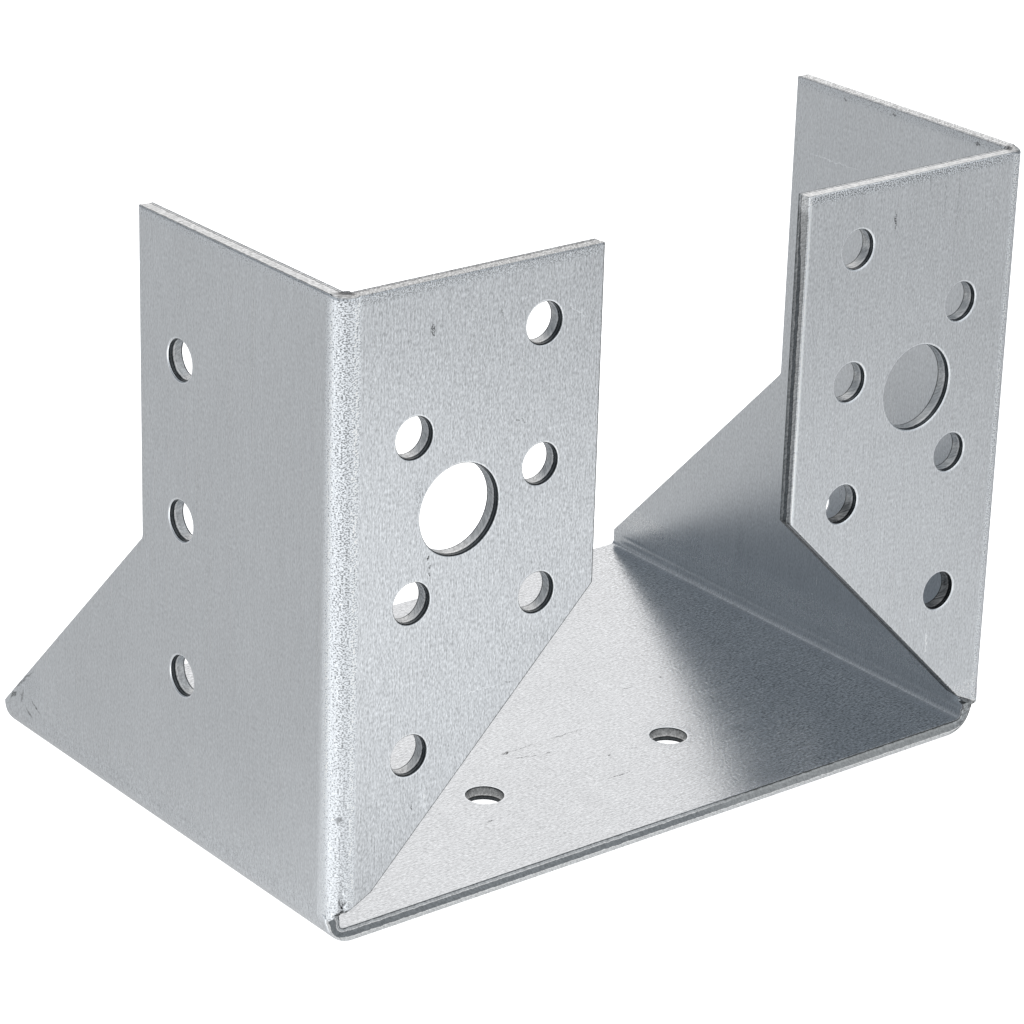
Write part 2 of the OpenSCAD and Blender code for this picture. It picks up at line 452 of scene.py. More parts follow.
def whole_skin():
    """Both halves of the outer skin in one, facing outwards, with a margin along every cut edge."""
    skin = left_skin()
    mirror = skin.modifiers.new("Mirror", "MIRROR")
    mirror.merge_threshold = WELD
    bpy.ops.object.modifier_apply(modifier=mirror.name)
    bpy.ops.object.mode_set(mode="EDIT")
    pick("FACE", lambda p: True)
    bpy.ops.mesh.remove_doubles(threshold=WELD)
    bpy.ops.mesh.normals_make_consistent(inside=False)
    bpy.ops.mesh.inset(thickness=RIM_MARGIN, use_boundary=True, use_even_offset=True)
    bpy.ops.object.mode_set(mode="OBJECT")
    seat_faces = [f for f in skin.data.polygons if near(f.center.z, 0)]
    if seat_faces[0].normal.z > 0:
        skin.data.flip_normals()
    return skin


def give_thickness(skin):
    """Thickens the skin inwards. Point n of the outer skin has its partner n + count on the inner one."""
    count = len(skin.data.vertices)
    wall = skin.modifiers.new("Wall", "SOLIDIFY")
    wall.thickness = SHEET
    wall.offset = -1
    wall.use_even_offset = True
    wall.material_offset_rim = 1
    bpy.ops.object.modifier_apply(modifier=wall.name)
    return count


def finish_rims(skin, count):
    """Breaks the cut faces into a sheared band and a break-out that flares towards the inner skin. A hole's
    wall draws in behind its break-out instead."""
    mesh = skin.data
    across = [e.index for e in mesh.edges if abs(e.vertices[0] - e.vertices[1]) == count]
    partners = {}
    for index in across:
        outer, inner = sorted(mesh.edges[index].vertices)
        partners[inner] = outer
    inward = {}
    for edge in mesh.edges:
        for here, there in (edge.vertices, reversed(edge.vertices)):
            if here in partners and there >= count and there not in partners:
                step = mesh.vertices[there].co - mesh.vertices[here].co
                inward[here] = step.normalized()
    bpy.ops.object.mode_set(mode="EDIT")
    bpy.ops.mesh.select_mode(type="EDGE")
    bpy.ops.mesh.select_all(action="DESELECT")
    bpy.ops.object.mode_set(mode="OBJECT")
    for index in across:
        mesh.edges[index].select = True
    before = len(mesh.vertices)
    bpy.ops.object.mode_set(mode="EDIT")
    bpy.ops.mesh.subdivide(number_cuts=2)
    bpy.ops.object.mode_set(mode="OBJECT")
    links = {}
    for edge in mesh.edges:
        a, b = edge.vertices
        links.setdefault(a, []).append(b)
        links.setdefault(b, []).append(a)
    for inner, outer in partners.items():
        top = mesh.vertices[outer].co.copy()
        depth = mesh.vertices[inner].co - top
        flare = BREAKOUT_FLARE
        band_end = SMOOTH_BAND
        next_band = BREAKOUT_START
        if in_a_hole(top):
            flare = -HOLE_RIDGE
            band_end = HOLE_BREAKOUT_END
            next_band = HOLE_BAND_START
        flare *= inward.get(inner, Vector())
        first = next(i for i in links[outer] if i >= before)
        second = next(i for i in links[inner] if i >= before)
        mesh.vertices[first].co = top + depth * (band_end / SHEET)
        mesh.vertices[second].co = top + depth * (next_band / SHEET) + flare
        mesh.vertices[inner].co += flare
    return partners


def roll_edges(partners):
    """Rounds the rim of the outer skin, where the punch drew it in, and dulls the inner one."""
    sheet = bpy.context.object
    outer = set(partners.values())
    inner = set(partners)
    rims = {}
    for edge in sheet.data.edges:
        for name, rim in (("burr", inner), ("rollover", outer)):
            if edge.vertices[0] in rim and edge.vertices[1] in rim:
                rims.setdefault(name, []).append(edge.index)
    weights = {"rollover": ROLLOVER, "burr": BURR}
    widest = max(weights.values())
    layer = sheet.data.attributes.new("bevel_weight_edge", "FLOAT", "EDGE")
    for name, edges in rims.items():
        for index in edges:
            layer.data[index].value = weights[name] / widest
    roll = sheet.modifiers.new("Roll", "BEVEL")
    roll.limit_method = "WEIGHT"
    roll.width = widest
    roll.segments = 3
    roll.use_clamp_overlap = False
    bpy.ops.object.modifier_apply(modifier=roll.name)


def flat_place(p):
    """Where a point lay in the flat sheet: along the rolling grain, across it, and its depth below the
    outer skin. The grain runs from the seat up the cheeks, and past the flange bends up the flanges."""
    side = -1 if p.x < 0 else 1
    out_x = abs(p.x)
    if p.z < SEAT_BEND_R:
        if out_x < SEAT_X:
            return p.x, p.y, p.z
        arm = Vector((out_x - SEAT_X, SEAT_BEND_R - p.z))
        turn = math.atan2(arm.x, arm.y)
        return side * (SEAT_X + (SEAT_BEND_R - SHEET / 2) * turn), p.y, SEAT_BEND_R - arm.length
    along = side * (SEAT_X + SEAT_ARC + p.z - SEAT_BEND_R)
    if p.y > BEND_Y:
        return along, p.y, SIDE_X - out_x
    if out_x > BEND_X:
        arm = Vector((out_x - BEND_X, BEND_Y - p.y))
        turn = math.atan2(arm.y, arm.x)
        return along, BEND_Y - (FLANGE_BEND_R - SHEET / 2) * turn, FLANGE_BEND_R - arm.length
    across = BEND_Y - FLANGE_ARC - (BEND_X - out_x)
    return along, across, p.y - FACE_Y


def keep_flat_places(sheet):
    """Stores every point's place in the flat sheet, for the materials."""
    layer = sheet.data.attributes.new("flat_mm", "FLOAT_VECTOR", "POINT")
    for point in sheet.data.vertices:
        layer.data[point.index].vector = flat_place(point.co)


def mark_holes(sheet):
    """Marks the points on the rims and walls of the holes, for the cut faces' material."""
    layer = sheet.data.attributes.new("in_hole", "FLOAT", "POINT")
    for point in sheet.data.vertices:
        layer.data[point.index].value = in_a_hole(point.co)


def press_folds(sheet):
    """Squares the inside of the seat bends, where the nose of the press tool sank in."""
    for point in sheet.data.vertices:
        p = point.co
        arm = Vector((abs(p.x) - SEAT_X, SEAT_BEND_R - p.z))
        if min(arm) < 0:
            continue
        sunk = (SEAT_BEND_R - arm.length) / SHEET
        across, down = arm.normalized()
        squarer = (across ** FOLD_SQUARENESS + down ** FOLD_SQUARENESS) ** (-1 / FOLD_SQUARENESS)
        arm *= 1 + (squarer - 1) * sunk
        point.co.x = (SEAT_X + arm.x) * (1 if p.x > 0 else -1)
        point.co.z = SEAT_BEND_R - arm.y


def squeeze_corners(sheet):
    """Creases the lower ends of the flange bends, where the fold of the seat below pulled the metal in,
    and lets their lips hang in front of it."""
    for point in sheet.data.vertices:
        p = point.co
        low_down = BEND_END_Z - SQUEEZE_BELOW < p.z < SQUEEZE_TOP_Z
        if p.y > BEND_Y + SLACK or abs(p.x) < BEND_X - SQUEEZE_BESIDE or not low_down:
            continue
        low = ((SQUEEZE_TOP_Z - p.z) / (SQUEEZE_TOP_Z - BEND_END_Z)) ** 2
        side = 1 if p.x > 0 else -1
        arm = Vector((abs(p.x) - BEND_X, BEND_Y - p.y))
        turn = math.degrees(math.atan2(arm.y, arm.x))
        crease = math.exp(-((turn - CREASE_TURN) / CREASE_SPREAD) ** 2)
        bulge = math.exp(-((turn - BULGE_TURN) / BULGE_SPREAD) ** 2)
        push = low * (BULGE_RISE * bulge - CREASE_DEPTH * crease)
        outwards = arm.normalized() if abs(p.x) > BEND_X else Vector((0, 1))
        point.co.x += side * outwards.x * push
        point.co.y -= outwards.y * push
        if p.z < LIP_TOP_Z and 0 < turn < 90:
            free = min(1.0, max(0.0, (SEAT_FRONT_Y - p.y) / LIP_CLEAR))
            hang = (LIP_TOP_Z - p.z) / (LIP_TOP_Z - BEND_END_Z)
            point.co.z -= LIP_DROP * free * hang * max(0.0, math.cos(math.radians(2 * turn)))


def swell_bend_tops(sheet):
    """Lifts the inside and lowers the outside of the flange bends at their upper ends, as folding does."""
    for point in sheet.data.vertices:
        p = point.co
        if p.y > BEND_Y or abs(p.x) < BEND_X or p.z < TOP_Z - SWELL_REACH:
            continue
        arm = Vector((abs(p.x) - BEND_X, BEND_Y - p.y))
        middle = math.sqrt(max(0.0, math.sin(2 * math.atan2(arm.y, arm.x))))
        sunk = (FLANGE_BEND_R - arm.length) / SHEET
        high = 1 - (TOP_Z - p.z) / SWELL_REACH
        point.co.z += middle * high * (SWELL_RISE * sunk - SWELL_SINK * (1 - sunk))


def sheet_piece():
    """The whole dressed sheet, in metres at its place in the frame."""
    skin = whole_skin()
    skin.name = skin.data.name = "folded_sheet"
    skin.data.materials.append(galvanised_skin())
    skin.data.materials.append(sheared_edge())
    partners = finish_rims(skin, give_thickness(skin))
    roll_edges(partners)
    keep_flat_places(skin)
    mark_holes(skin)
    press_folds(skin)
    squeeze_corners(skin)
    swell_bend_tops(skin)
    skin.scale = (MM, MM, MM)
    bpy.ops.object.transform_apply(location=False, rotation=False, scale=True)
    bpy.ops.object.shade_smooth_by_angle(angle=math.radians(40))
    even = skin.modifiers.new("Even", "WEIGHTED_NORMAL")
    even.keep_sharp = True
    even.weight = 100
    bpy.ops.object.modifier_apply(modifier=even.name)
    return skin


def hex_colour(code):
    """A linear colour from an sRGB hex value."""
    parts = [int(code[i:i + 2], 16) / 255 for i in (1, 3, 5)]
    return [c / 12.92 if c <= 0.04045 else ((c + 0.055) / 1.055) ** 2.4 for c in parts] + [1.0]


def put(tree, kind, inputs=(), output=0, **settings):
    """Adds a node with its settings, gives its inputs values or links, in order or by name, and returns
    one of its outputs."""
    new = tree.nodes.new("ShaderNode" + kind)
    for name, value in settings.items():
        setattr(new, name, value)
    for name, value in inputs.items() if isinstance(inputs, dict) else enumerate(inputs):
        if isinstance(value, bpy.types.NodeSocket):
            tree.links.new(value, new.inputs[name])
        else:
            new.inputs[name].default_value = value
    return new.outputs[output] if new.outputs else None


def new_material(name):
    """An empty node material, and the function that adds a node to it."""
    material = bpy.data.materials.new(name)
    material.use_nodes = True
    material.node_tree.nodes.clear()
    return material, partial(put, material.node_tree)


def oval(add, place, turned, mark):
    """A soft-edged oval in the flat sheet, with its level inside and 0 outside. Ovals that are turned alike
    share one turned place."""
    along, across, depth, half_length, half_width, turn, level = mark
    if turn not in turned:
        turned[turn] = add("Mapping", {"Vector": place, "Rotation": (0.0, 0.0, -math.radians(turn))})
    middle = Quaternion((0, 0, 1), -math.radians(turn)) @ Vector((along, across, depth))
    stretch = Vector((1 / half_length, 1 / half_width, 1.0))
    off = add("VectorMath", (turned[turn], stretch, -middle * stretch), operation="MULTIPLY_ADD")
    off = add("VectorMath", (off,), "Value", operation="LENGTH")
    return add("MapRange", (off, 1.0, 0.5, 0.0, level), **SOFT)


def close_to(add, value, middle, inner, outer, level):
    """The level where a value lies within an inner distance of a middle, and 0 past an outer distance."""
    off = add("Math", (value, middle), operation="SUBTRACT")
    off = add("Math", (off,), operation="ABSOLUTE")
    return add("MapRange", (off, inner, outer, level, 0.0), **SOFT)


def grain_noises(add, flat):
    """The zinc's patterns in the flat sheet, by name, as noise that wanders round 0."""
    noises = {}
    for name, length, width, detail in GRAIN_SIZES:
        scaled = add("VectorMath", (flat, (1 / length, 1 / width, 0.0)), operation="MULTIPLY")
        noise = add("TexNoise", {"Vector": scaled, "Scale": 1.0, "Detail": detail, "Roughness": 0.6})
        noises[name] = add("Math", (noise, 0.5), operation="SUBTRACT")
    return noises


def grain_contrast(add, along, across, reach, on_seat):
    """How strongly the grain shows: more on the left flange and the seat than on the cheeks and the right
    flange, and most where the seat mirrors the dark side of the room."""
    on_flange = add("MapRange", (across, -36.0, -37.5, 0.0, 1.0), **SOFT)
    on_left = add("MapRange", (along, 20.0, -50.0, 0.35, 1.0), **SOFT)
    contrast = add("Math", (on_flange, on_left), operation="MULTIPLY")
    contrast = add("Math", (contrast, on_seat), operation="MAXIMUM")
    contrast = add("MapRange", (contrast, 0.0, 1.0, 0.55, 1.1))
    in_shade = add("Math", (across, SHADE_SKEW, along), operation="MULTIPLY_ADD")
    in_shade = add("MapRange", (in_shade, 26.0, 40.0, 0.0, 1.2), **SOFT)
    seat_only = add("MapRange", (reach, 49.5, 48.0, 0.0, 1.0), **SOFT)
    in_shade = add("Math", (in_shade, seat_only), operation="MULTIPLY")
    return add("Math", (contrast, in_shade, contrast), operation="MULTIPLY_ADD")


def flange_rims(add, along, across, reach):
    """The rolled rim along a flange's free edge, slope and toe, and its tone: in shade on the left flange,
    lit on the right one."""
    width = add("MapRange", (along, *LEFT_TO_RIGHT, *FREE_RIM_WIDTHS))
    rim = add("Math", (across, FREE_EDGE), operation="SUBTRACT")
    rim = add("Math", (rim, width), operation="DIVIDE")
    width = add("MapRange", (along, *LEFT_TO_RIGHT, *SLOPE_RIM_WIDTHS))
    place = add("CombineXYZ", {"X": reach, "Y": across})
    for inwards, start in (SLOPE_EDGE, TOE_EDGE):
        off = add("VectorMath", (place, inwards), "Value", operation="DOT_PRODUCT")
        off = add("Math", (off, start), operation="SUBTRACT")
        off = add("Math", (off, width), operation="DIVIDE")
        rim = add("Math", (rim, off), operation="MINIMUM")
    rim = add("MapRange", (rim, 0.6, 1.0, 1.0, 0.0), **SOFT)
    past_bend = add("MapRange", (across, -35.2, -35.8, 0.0, 1.0), **SOFT)
    rim = add("Math", (rim, past_bend), operation="MULTIPLY")
    return rim, add("MapRange", (along, *LEFT_TO_RIGHT, -0.7, 0.4))


def galvanised_skin():
    """Hot-dip galvanised strip steel, skin-passed: bright grey zinc without spangle, whose rolls left fine
    parallel lines along the strip. It gives soft streaky reflections, and on the outside of the bends
    the zinc is crazed into bright and dark grains."""
    material, add = new_material("galvanised_strip_skin_passed")
    flat = add("Attribute", output="Vector", attribute_name="flat_mm")
    along = add("SeparateXYZ", (flat,), "X")
    across = add("SeparateXYZ", (flat,), "Y")
    reach = add("Math", (along,), operation="ABSOLUTE")
    noises = grain_noises(add, flat)

    # Where the zinc is crazed: outside the bends, and in a band along the top edges
    flange_bend = add("MapRange", (across, -33.5, -34.4, 0.0, 1.0), **SOFT)
    bend_ends = add("MapRange", (across, -37.2, -36.6, 0.0, 1.0), **SOFT)
    flange_bend = add("Math", (flange_bend, bend_ends), operation="MULTIPLY")
    above_seat = add("MapRange", (reach, 52.0, 53.0, 0.0, 1.0), **SOFT)
    flange_bend = add("Math", (flange_bend, above_seat), operation="MULTIPLY")
    seat_bend = add("MapRange", (reach, 48.2, 51.5, 0.0, 0.6), **SOFT)
    seat_bend_end = add("MapRange", (reach, 55.5, 52.4, 0.0, 1.0), **SOFT)
    seat_bend = add("Math", (seat_bend, seat_bend_end), operation="MULTIPLY")
    top_band = add("MapRange", (reach, 127.0, 128.2, 0.0, 0.8), **SOFT)
    # The band along the top is strongest on the right flange
    right_flange = add("MapRange", (along, *LEFT_TO_RIGHT, 0.0, 0.7))
    past_bend = add("MapRange", (across, -36.5, -38.0, 0.0, 1.0))
    right_flange = add("Math", (right_flange, past_bend), operation="MULTIPLY")
    top_band = add("Math", (top_band, right_flange, top_band), operation="MULTIPLY_ADD")
    crazed = add("Math", (flange_bend, seat_bend), operation="MAXIMUM")
    crazed = add("Math", (crazed, top_band), operation="MAXIMUM")

    # Wear: every mark is an oval in the flat sheet with a ragged outline
    wobble = add("TexNoise", {"Vector": flat, "Scale": 1.4, "Detail": 2.0}, "Color")
    wobble = add("VectorMath", (wobble, (0.5, 0.5, 0.5)), operation="SUBTRACT")
    ragged = add("VectorMath", (wobble, (0.9, 0.9, 0.0), flat), operation="MULTIPLY_ADD")
    dotted = add("Math", (noises["speckle"], 3.2, 0.85), operation="MULTIPLY_ADD")
    wear = 0.0
    turned = {}
    for mark in WEAR_MARKS:
        wear = add("Math", (wear, oval(add, ragged, turned, mark)), operation="ADD")
    turned = {}
    for patch in ROUGH_PATCHES:
        crazed = add("Math", (crazed, oval(add, flat, turned, patch)), operation="MAXIMUM")

    on_seat = add("MapRange", (reach, 60.0, 45.0, 0.0, 0.85), **SOFT)
    fine = add("Math", (noises["line"], 0.45, noises["grain"]), operation="MULTIPLY_ADD")
    fine = add("Math", (fine, grain_contrast(add, along, across, reach, on_seat)), operation="MULTIPLY")
    broad = add("Math", (noises["streak"], 0.9, noises["cloud"]), operation="MULTIPLY_ADD")

    # Crazed zinc: bright, with dark pits that lie closer together towards the flange's end of the bend.
    # It is duller towards the lower end
    sparse = add("MapRange", (across, -35.9, -34.8, 0.0, 0.13))
    pits = add("Math", (noises["speckle"], sparse), operation="ADD")
    pits = add("MapRange", (pits, -0.09, 0.0, -0.38, 0.1), **SOFT)
    grains = add("Math", (noises["speckle"], 0.7, pits), operation="MULTIPLY_ADD")
    grains = add("Math", (grains, crazed), operation="MULTIPLY")
    fresh = add("MapRange", (reach, 58.0, 100.0, 0.65, 0.95), **SOFT)
    grains = add("Math", (grains, fresh), operation="MULTIPLY")
    # Bright specks just above the fold of the right cheek
    specks = add("MapRange", (noises["speckle"], 0.1, 0.2, 0.0, 0.8), **SOFT)
    above_fold = add("MapRange", (along, 53.4, 54.4, 0.0, 1.0), **SOFT)
    fold_end = add("MapRange", (along, 58.5, 56.0, 0.0, 1.0), **SOFT)
    above_fold = add("Math", (above_fold, fold_end), operation="MULTIPLY")
    # A painted highlight over the whole bend, and lower down on to the cheek beside it, with painted shade
    # in the middle of the bend
    bend_light_and_shade = add("MapRange", (reach, 50.0, 128.0, -32.8, -34.0))
    bend_light_and_shade = add("Math", (across, bend_light_and_shade), operation="SUBTRACT")
    bend_light_and_shade = add("MapRange", (bend_light_and_shade, 0.2, -1.0, 0.0, 0.26), **SOFT)
    bend_light_and_shade = add("Math", (bend_light_and_shade, bend_ends), operation="MULTIPLY")
    bend_light_and_shade = add("Math", (bend_light_and_shade, above_seat), operation="MULTIPLY")
    middle = close_to(add, across, -35.65, 0.15, 0.95, -0.32)
    bend_light_and_shade = add("Math", (middle, flange_bend, bend_light_and_shade), operation="MULTIPLY_ADD")

    tone = add("Math", (fine, GRAIN_CONTRAST, 1.0), operation="MULTIPLY_ADD")
    tone = add("Math", (broad, 0.12, tone), operation="MULTIPLY_ADD")
    tone = add("Math", (grains, tone), operation="ADD")
    tone = add("Math", (specks, above_fold, tone), operation="MULTIPLY_ADD")
    tone = add("Math", (wear, dotted, tone), operation="MULTIPLY_ADD")
    tone = add("Math", (*flange_rims(add, along, across, reach), tone), operation="MULTIPLY_ADD")
    # The bend's painted highlight and shade
    tone = add("Math", (bend_light_and_shade, tone), operation="ADD")
    # A painted highlight on the zinc round the rims of the holes
    in_hole = add("Attribute", output="Fac", attribute_name="in_hole")
    tone = add("Math", (in_hole, 0.3, tone), operation="MULTIPLY_ADD")
    colour = add("VectorMath", {0: hex_colour(ZINC_GREY)[:3], "Scale": tone}, operation="SCALE")

    # Streaks and crazing are rougher, the seat is smoother
    rough = add("Math", (noises["streak"], 0.12, 0.29), operation="MULTIPLY_ADD")
    rough = add("Math", (crazed, 0.2, rough), operation="MULTIPLY_ADD")
    rough = add("Math", (on_seat, -0.09, rough), operation="MULTIPLY_ADD")

    # Relief in millimetres, and the dish of the seat's right half
    relief = add("Math", (on_seat, 0.017, 0.005), operation="MULTIPLY_ADD")
    height = add("Math", (fine, relief), operation="MULTIPLY")
    height = add("Math", (noises["streak"], 0.002, height), operation="MULTIPLY_ADD")
    height = add("Math", (noises["speckle"], 0.006, height), operation="MULTIPLY_ADD")
    height = add("Math", (grains, 0.02, height), operation="MULTIPLY_ADD")
    right_half = add("MapRange", (along, 0.0, SEAT_X, 0.0, 1.0))
    risen = add("Math", (right_half, right_half), operation="MULTIPLY")
    height = add("Math", (risen, SEAT_DISH, height), operation="MULTIPLY_ADD")
    bump = add("Bump", {"Strength": 1.0, "Distance": MM, "Height": height})
    shader = add("BsdfPrincipled", {
        "Base Color": colour, "Metallic": 1.0, "Roughness": rough, "Normal": bump})
    add("OutputMaterial", (shader,))
    return material


def shaded_front(add, level, fade, in_fold):
    """Deep shade below the right of the seat, and along the outside of the fold there."""
    below_seat = close_to(add, level, 1.84, 0.05, 0.13, 0.9)
    below_seat = add("Math", (below_seat, fade), operation="MULTIPLY")
    round_fold = close_to(add, level, 0.3, 0.07, 0.17, 0.9)
    round_fold = add("Math", (round_fold, in_fold), operation="MULTIPLY")
    return add("Math", (below_seat, round_fold), operation="MAXIMUM")


def shaded_tops(add, level, across, in_bend, on_top):
    """Shade on the tops: a dark core where the flange bends were squeezed, and a dark rim along the
    cheeks."""
    core = close_to(add, level, 1.35, 0.2, 0.42, 0.85)
    core = add("Math", (core, in_bend), operation="MULTIPLY")
    on_cheek = add("MapRange", (across, -35.2, -34.4, 0.0, 1.0), **SOFT)
    edge = add("MapRange", (level, 0.16, 0.28, 0.85, 0.0), **SOFT)
    edge = add("Math", (edge, on_cheek), operation="MULTIPLY")
    core = add("Math", (core, edge), operation="MAXIMUM")
    return add("Math", (core, on_top), operation="MULTIPLY")


def hole_wall(add, wander, depth):
    """Colour of a hole's wall: the dark break-out next to the outer skin, the burnished band and lines. The
    white line is a painted highlight.
    """
    level = add("Math", (wander, 0.12, depth), operation="MULTIPLY_ADD")
    smooth = add("MapRange", (level, HOLE_BREAKOUT_END, HOLE_BREAKOUT_END + 0.08, 0.0, 1.0), **SOFT)
    wall = add("Mix", {FACTOR: smooth, FIRST: hex_colour(HOLE_BREAKOUT_GREY),
                       SECOND: hex_colour(HOLE_WALL_GREY)}, **COLOUR_MIX)
    for middle, half_width, grey in HOLE_LINES:
        line = close_to(add, level, middle, half_width / 2, half_width, 0.9)
        wall = add("Mix", {FACTOR: line, FIRST: wall, SECOND: hex_colour(grey)}, **COLOUR_MIX)
    return wall


def sheared_edge():
    """Bare steel of the cut faces. A sheared outline has a burnished light band next to the outer skin,
    a dark break-out and a grey burr. The holes were punched from inside, so there the dark break-out
    lies next to the outer skin and the burnished band behind it."""
    material, add = new_material("sheared_steel_edge")
    flat = add("Attribute", output="Vector", attribute_name="flat_mm")
    in_hole = add("Attribute", output="Fac", attribute_name="in_hole")
    depth = add("SeparateXYZ", (flat,), "Z")
    along = add("SeparateXYZ", (flat,), "X")
    across = add("SeparateXYZ", (flat,), "Y")
    reach = add("Math", (along,), operation="ABSOLUTE")
    # Streaks 0.25 mm apart run across the thickness, and lean with the shear
    lean = add("VectorMath", {0: (0.6, 0.6, 0.0), "Scale": depth}, operation="SCALE")
    leaning = add("VectorMath", (flat, lean), operation="ADD")
    scaled = add("VectorMath", (leaning, (4.0, 4.0, 0.35)), operation="MULTIPLY")
    streak = add("TexNoise", {"Vector": scaled, "Scale": 1.0, "Detail": 2.0, "Roughness": 0.6})
    streak = add("Math", (streak, 0.5), operation="SUBTRACT")
    scaled = add("VectorMath", (flat, (0.8, 0.8, 0.0)), operation="MULTIPLY")
    wander = add("TexNoise", {"Vector": scaled, "Scale": 1.0, "Detail": 3.0, "Roughness": 0.7})
    wander = add("Math", (wander, 0.5), operation="SUBTRACT")
    # The bands wander, most of all in the folds of the seat
    into_fold = add("MapRange", (reach, 47.0, 50.0, 0.45, 0.95))
    out_of_fold = add("MapRange", (reach, 57.0, 58.0, 0.0, 0.5))
    freedom = add("Math", (into_fold, out_of_fold), operation="SUBTRACT")
    level = add("Math", (wander, freedom, depth), operation="MULTIPLY_ADD")

    # Bands of a sheared outline, by depth: burnished, broken out, burr
    bend = add("MapRange", (reach, 48.5, 51.5, 0.62, 0.4))
    top = add("MapRange", (reach, 118.0, 126.0, 0.0, 0.7))
    cheeks = add("MapRange", (reach, 54.0, 56.0, 0.0, 0.26))
    break_start = add("Math", (top, bend), operation="ADD")
    break_start = add("Math", (break_start, cheeks), operation="ADD")
    past = add("Math", (level, break_start), operation="SUBTRACT")
    broken = add("MapRange", (past, 0.0, 0.08, 0.0, 1.0), **SOFT)
    burr_start = add("MapRange", (reach, 118.0, 126.0, 1.5, 1.62))
    past = add("Math", (level, burr_start), operation="SUBTRACT")
    burred = add("MapRange", (past, 0.0, 0.08, 0.0, 1.0), **SOFT)
    outline = add("Mix", {FACTOR: broken, FIRST: hex_colour(BURNISHED_GREY),
                          SECOND: hex_colour(BREAKOUT_GREY)}, **COLOUR_MIX)
    outline = add("Mix", {FACTOR: burred, FIRST: outline, SECOND: hex_colour(BURR_GREY)}, **COLOUR_MIX)
    # Along the right of the seat the break-out and the burr fade into one grey
    fade = add("MapRange", (along, 2.0, 14.0, 0.0, 0.8), **SOFT)
    seat_edge = add("MapRange", (reach, 60.0, 58.0, 0.0, 1.0))
    fade = add("Math", (fade, seat_edge), operation="MULTIPLY")
    faded = add("Math", (fade, broken), operation="MULTIPLY")
    outline = add("Mix", {FACTOR: faded, FIRST: outline, SECOND: hex_colour(FADED_GREY)}, **COLOUR_MIX)
    # A thin line of painted shade along the burr, and a thin bright one where one band breaks into the next
    burr_end = add("MapRange", (level, 1.8, 1.92, 0.0, 0.8), **SOFT)
    outline = add("Mix", {FACTOR: burr_end, FIRST: outline, SECOND: hex_colour(SHADE_GREY)}, **COLOUR_MIX)
    burr_line = add("MapRange", (fade, 0.0, 0.8, 0.85, 0.15))
    bright = hex_colour(BAND_LINE_GREY)
    for start, shown in ((break_start, 0.85), (burr_start, burr_line)):
        line = close_to(add, level, start, 0.03, 0.08, shown)
        outline = add("Mix", {FACTOR: line, FIRST: outline, SECOND: bright}, **COLOUR_MIX)

    in_fold = add("MapRange", (along, 48.0, 50.0, 0.0, 1.0), **SOFT)
    in_fold = add("Math", (in_fold, seat_edge), operation="MULTIPLY")
    deep = shaded_front(add, level, fade, in_fold)
    outline = add("Mix", {FACTOR: deep, FIRST: outline, SECOND: hex_colour(DEEP_SHADE_GREY)}, **COLOUR_MIX)
    on_top = add("MapRange", (reach, 126.0, 127.5, 0.0, 1.0), **SOFT)
    in_bend = add("MapRange", (across, -34.0, -34.8, 0.0, 1.0), **SOFT)
    on_flange = add("MapRange", (across, -36.4, -37.2, 0.0, 1.0), **SOFT)
    in_bend = add("Math", (in_bend, on_flange), operation="SUBTRACT")
    dark = shaded_tops(add, level, across, in_bend, on_top)
    outline = add("Mix", {FACTOR: dark, FIRST: outline, SECOND: hex_colour(SHADE_GREY)}, **COLOUR_MIX)
    wall = hole_wall(add, wander, depth)
    base = add("Mix", {FACTOR: in_hole, FIRST: outline, SECOND: wall}, **COLOUR_MIX)

    # The streaks show most on the tops and in the fold
    contrast = add("Math", (on_top, 1.2), operation="ADD")
    contrast = add("Math", (in_fold, 1.6, contrast), operation="MULTIPLY_ADD")
    tone = add("Math", (streak, contrast, 1.0), operation="MULTIPLY_ADD")
    # Painted light and shade: the right flange's top is lighter, and the left flange's top, the tops of the
    # bends and the free edges are darker than the rest
    top_of_flange = add("Math", (on_top, on_flange), operation="MULTIPLY")
    top_light_and_shade = add("MapRange", (along, 1.0, -1.0, 0.12, -0.25))
    tone = add("Math", (top_of_flange, top_light_and_shade, tone), operation="MULTIPLY_ADD")
    top_of_bend = add("Math", (on_top, in_bend), operation="MULTIPLY")
    tone = add("Math", (top_of_bend, -0.25, tone), operation="MULTIPLY_ADD")
    # The slope and the toe of the right flange are cut in shade
    slope = add("MapRange", (along, 88.0, 86.0, 0.0, -0.65), **SOFT)
    right_only = add("MapRange", (along, 1.0, 2.0, 0.0, 1.0))
    slope = add("Math", (slope, right_only), operation="MULTIPLY")
    tone = add("Math", (slope, on_flange, tone), operation="MULTIPLY_ADD")
    # Painted shade on the free edges
    free_edge_shade = add("MapRange", (across, -70.3, -70.6, 0.0, -0.3), **SOFT)
    below_top = add("Math", (1.0, on_top), operation="SUBTRACT")
    tone = add("Math", (free_edge_shade, below_top, tone), operation="MULTIPLY_ADD")
    seat_hole = add("MapRange", (reach, 46.0, 44.0, 0.0, -0.4))
    tone = add("Math", (seat_hole, in_hole, tone), operation="MULTIPLY_ADD")
    colour = add("VectorMath", {0: base, "Scale": tone}, operation="SCALE")
    rough = add("MapRange", (broken, 0.0, 1.0, 0.3, 0.5))
    height = add("Math", (streak, 0.04), operation="MULTIPLY")
    bump = add("Bump", {"Strength": 1.0, "Distance": MM, "Height": height})
    shader = add("BsdfPrincipled", {
        "Base Color": colour, "Metallic": 1.0, "Roughness": rough, "Normal": bump})
    add("OutputMaterial", (shader,))
    return material


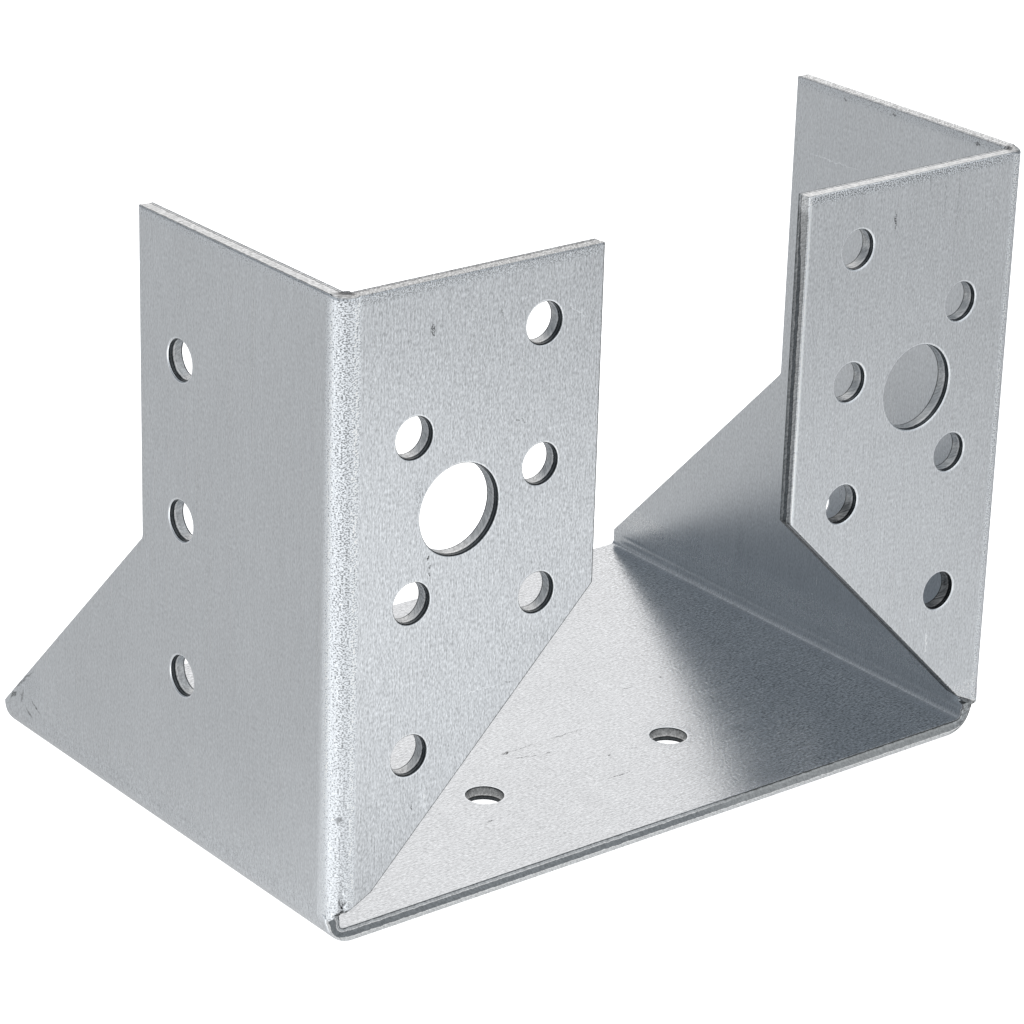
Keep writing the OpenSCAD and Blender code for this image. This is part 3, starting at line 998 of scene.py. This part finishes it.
def studio_light():
    """Soft light from all round, with broad brighter panels behind on the right, in front and above. The
    camera sees plain white instead."""
    world = bpy.data.worlds.new("soft_studio")
    bpy.context.scene.world = world
    world.use_nodes = True
    world.node_tree.nodes.clear()
    add = partial(put, world.node_tree)
    direction = add("TexCoord", output="Generated")
    light = FROM_ALL_ROUND
    for azimuth, elevation, core, edge, colour in SOFT_PANELS:
        level = math.cos(math.radians(elevation))
        towards = (level * math.cos(math.radians(azimuth)), level * math.sin(math.radians(azimuth)),
                   math.sin(math.radians(elevation)))
        facing = add("VectorMath", (direction, towards), "Value", operation="DOT_PRODUCT")
        outside = math.cos(math.radians(edge))
        inside = math.cos(math.radians(core))
        panel = add("MapRange", (facing, outside, inside, 0.0, 1.0), **SOFT)
        panel = add("VectorMath", {0: colour, "Scale": panel}, operation="SCALE")
        light = add("VectorMath", (light, panel), operation="ADD")
    seen = add("LightPath", output="Is Camera Ray")
    light = add("Mix", {FACTOR: seen, FIRST: light, SECOND: hex_colour("#FFFFFF")}, **COLOUR_MIX)
    background = add("Background", (light, 1.0))
    add("OutputWorld", (background,))


def ground_plane(name, height):
    """A large level plane of the stage, at a height in millimetres."""
    deselect_all()
    bpy.ops.mesh.primitive_plane_add(size=STAGE_SIZE, location=(0, 0, height * MM))
    plane = bpy.context.object
    plane.name = plane.data.name = name
    bpy.ops.object.transform_apply(location=True, rotation=False, scale=False)
    return plane


def white_floor():
    """The pale floor that the camera sees. The metal mirrors the light table under it instead."""
    floor = ground_plane("white_floor", FLOOR_Z)
    material, add = new_material("white_paper_sweep")
    shader = add("BsdfPrincipled", {
        "Base Color": hex_colour("#F4F4F4"), "Roughness": 0.9,
        "Emission Color": hex_colour("#FFFFFF"), "Emission Strength": 1.0})
    add("OutputMaterial", (shader,))
    floor.data.materials.append(material)
    floor.visible_glossy = False


def light_table():
    """What the metal mirrors below: bright in front, dimmer away from there, and strong on the left."""
    table = ground_plane("light_table", TABLE_Z)
    material, add = new_material("lit_paper")
    place = add("TexCoord", output="Object")
    from_bright = add("VectorMath", (place, Vector(TABLE_BRIGHT_AT) * MM), "Value", operation="DISTANCE")
    light = add("MapRange", (from_bright, TABLE_FALLOFF * MM, 0.0, TABLE_DIM, TABLE_BRIGHT), **SOFT)
    corner = Vector((-SIDE_X, FACE_Y, TABLE_Z)) * MM
    from_corner = add("VectorMath", (place, corner), operation="SUBTRACT")
    from_corner = add("VectorMath", (from_corner,), operation="NORMALIZE")
    facing = add("VectorMath", (from_corner, LEFT_GLOW_TOWARDS), "Value", operation="DOT_PRODUCT")
    glow = add("MapRange", (facing, LEFT_GLOW_EDGE, LEFT_GLOW_CORE, 0.0, LEFT_GLOW), **SOFT)
    light = add("Math", (light, glow), operation="ADD")
    shader = add("Emission", {"Strength": light})
    add("OutputMaterial", (shader,))
    table.data.materials.append(material)
    table.visible_camera = False
    table.visible_diffuse = False


def photo_camera():
    """The camera at the photograph's viewing angle, with neither shift nor depth of field."""
    data = bpy.data.cameras.new("photo_camera")
    camera = bpy.data.objects.new("photo_camera", data)
    bpy.context.collection.objects.link(camera)
    data.sensor_width = CAMERA_SENSOR
    data.lens = CAMERA_LENS
    data.clip_start = 0.01
    data.clip_end = 20.0
    camera.location = CAMERA_PLACE * MM
    aim = (CAMERA_AIM - CAMERA_PLACE).to_track_quat("-Z", "Y")
    camera.rotation_mode = "QUATERNION"
    camera.rotation_quaternion = aim @ Quaternion((0, 0, 1), math.radians(CAMERA_ROLL))
    bpy.context.scene.camera = camera


photo_camera()
studio_light()
white_floor()
light_table()
sheet = sheet_piece()
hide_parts("hanger")
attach(sheet, "root")

bpy.context.scene.view_settings.view_transform = "Standard"
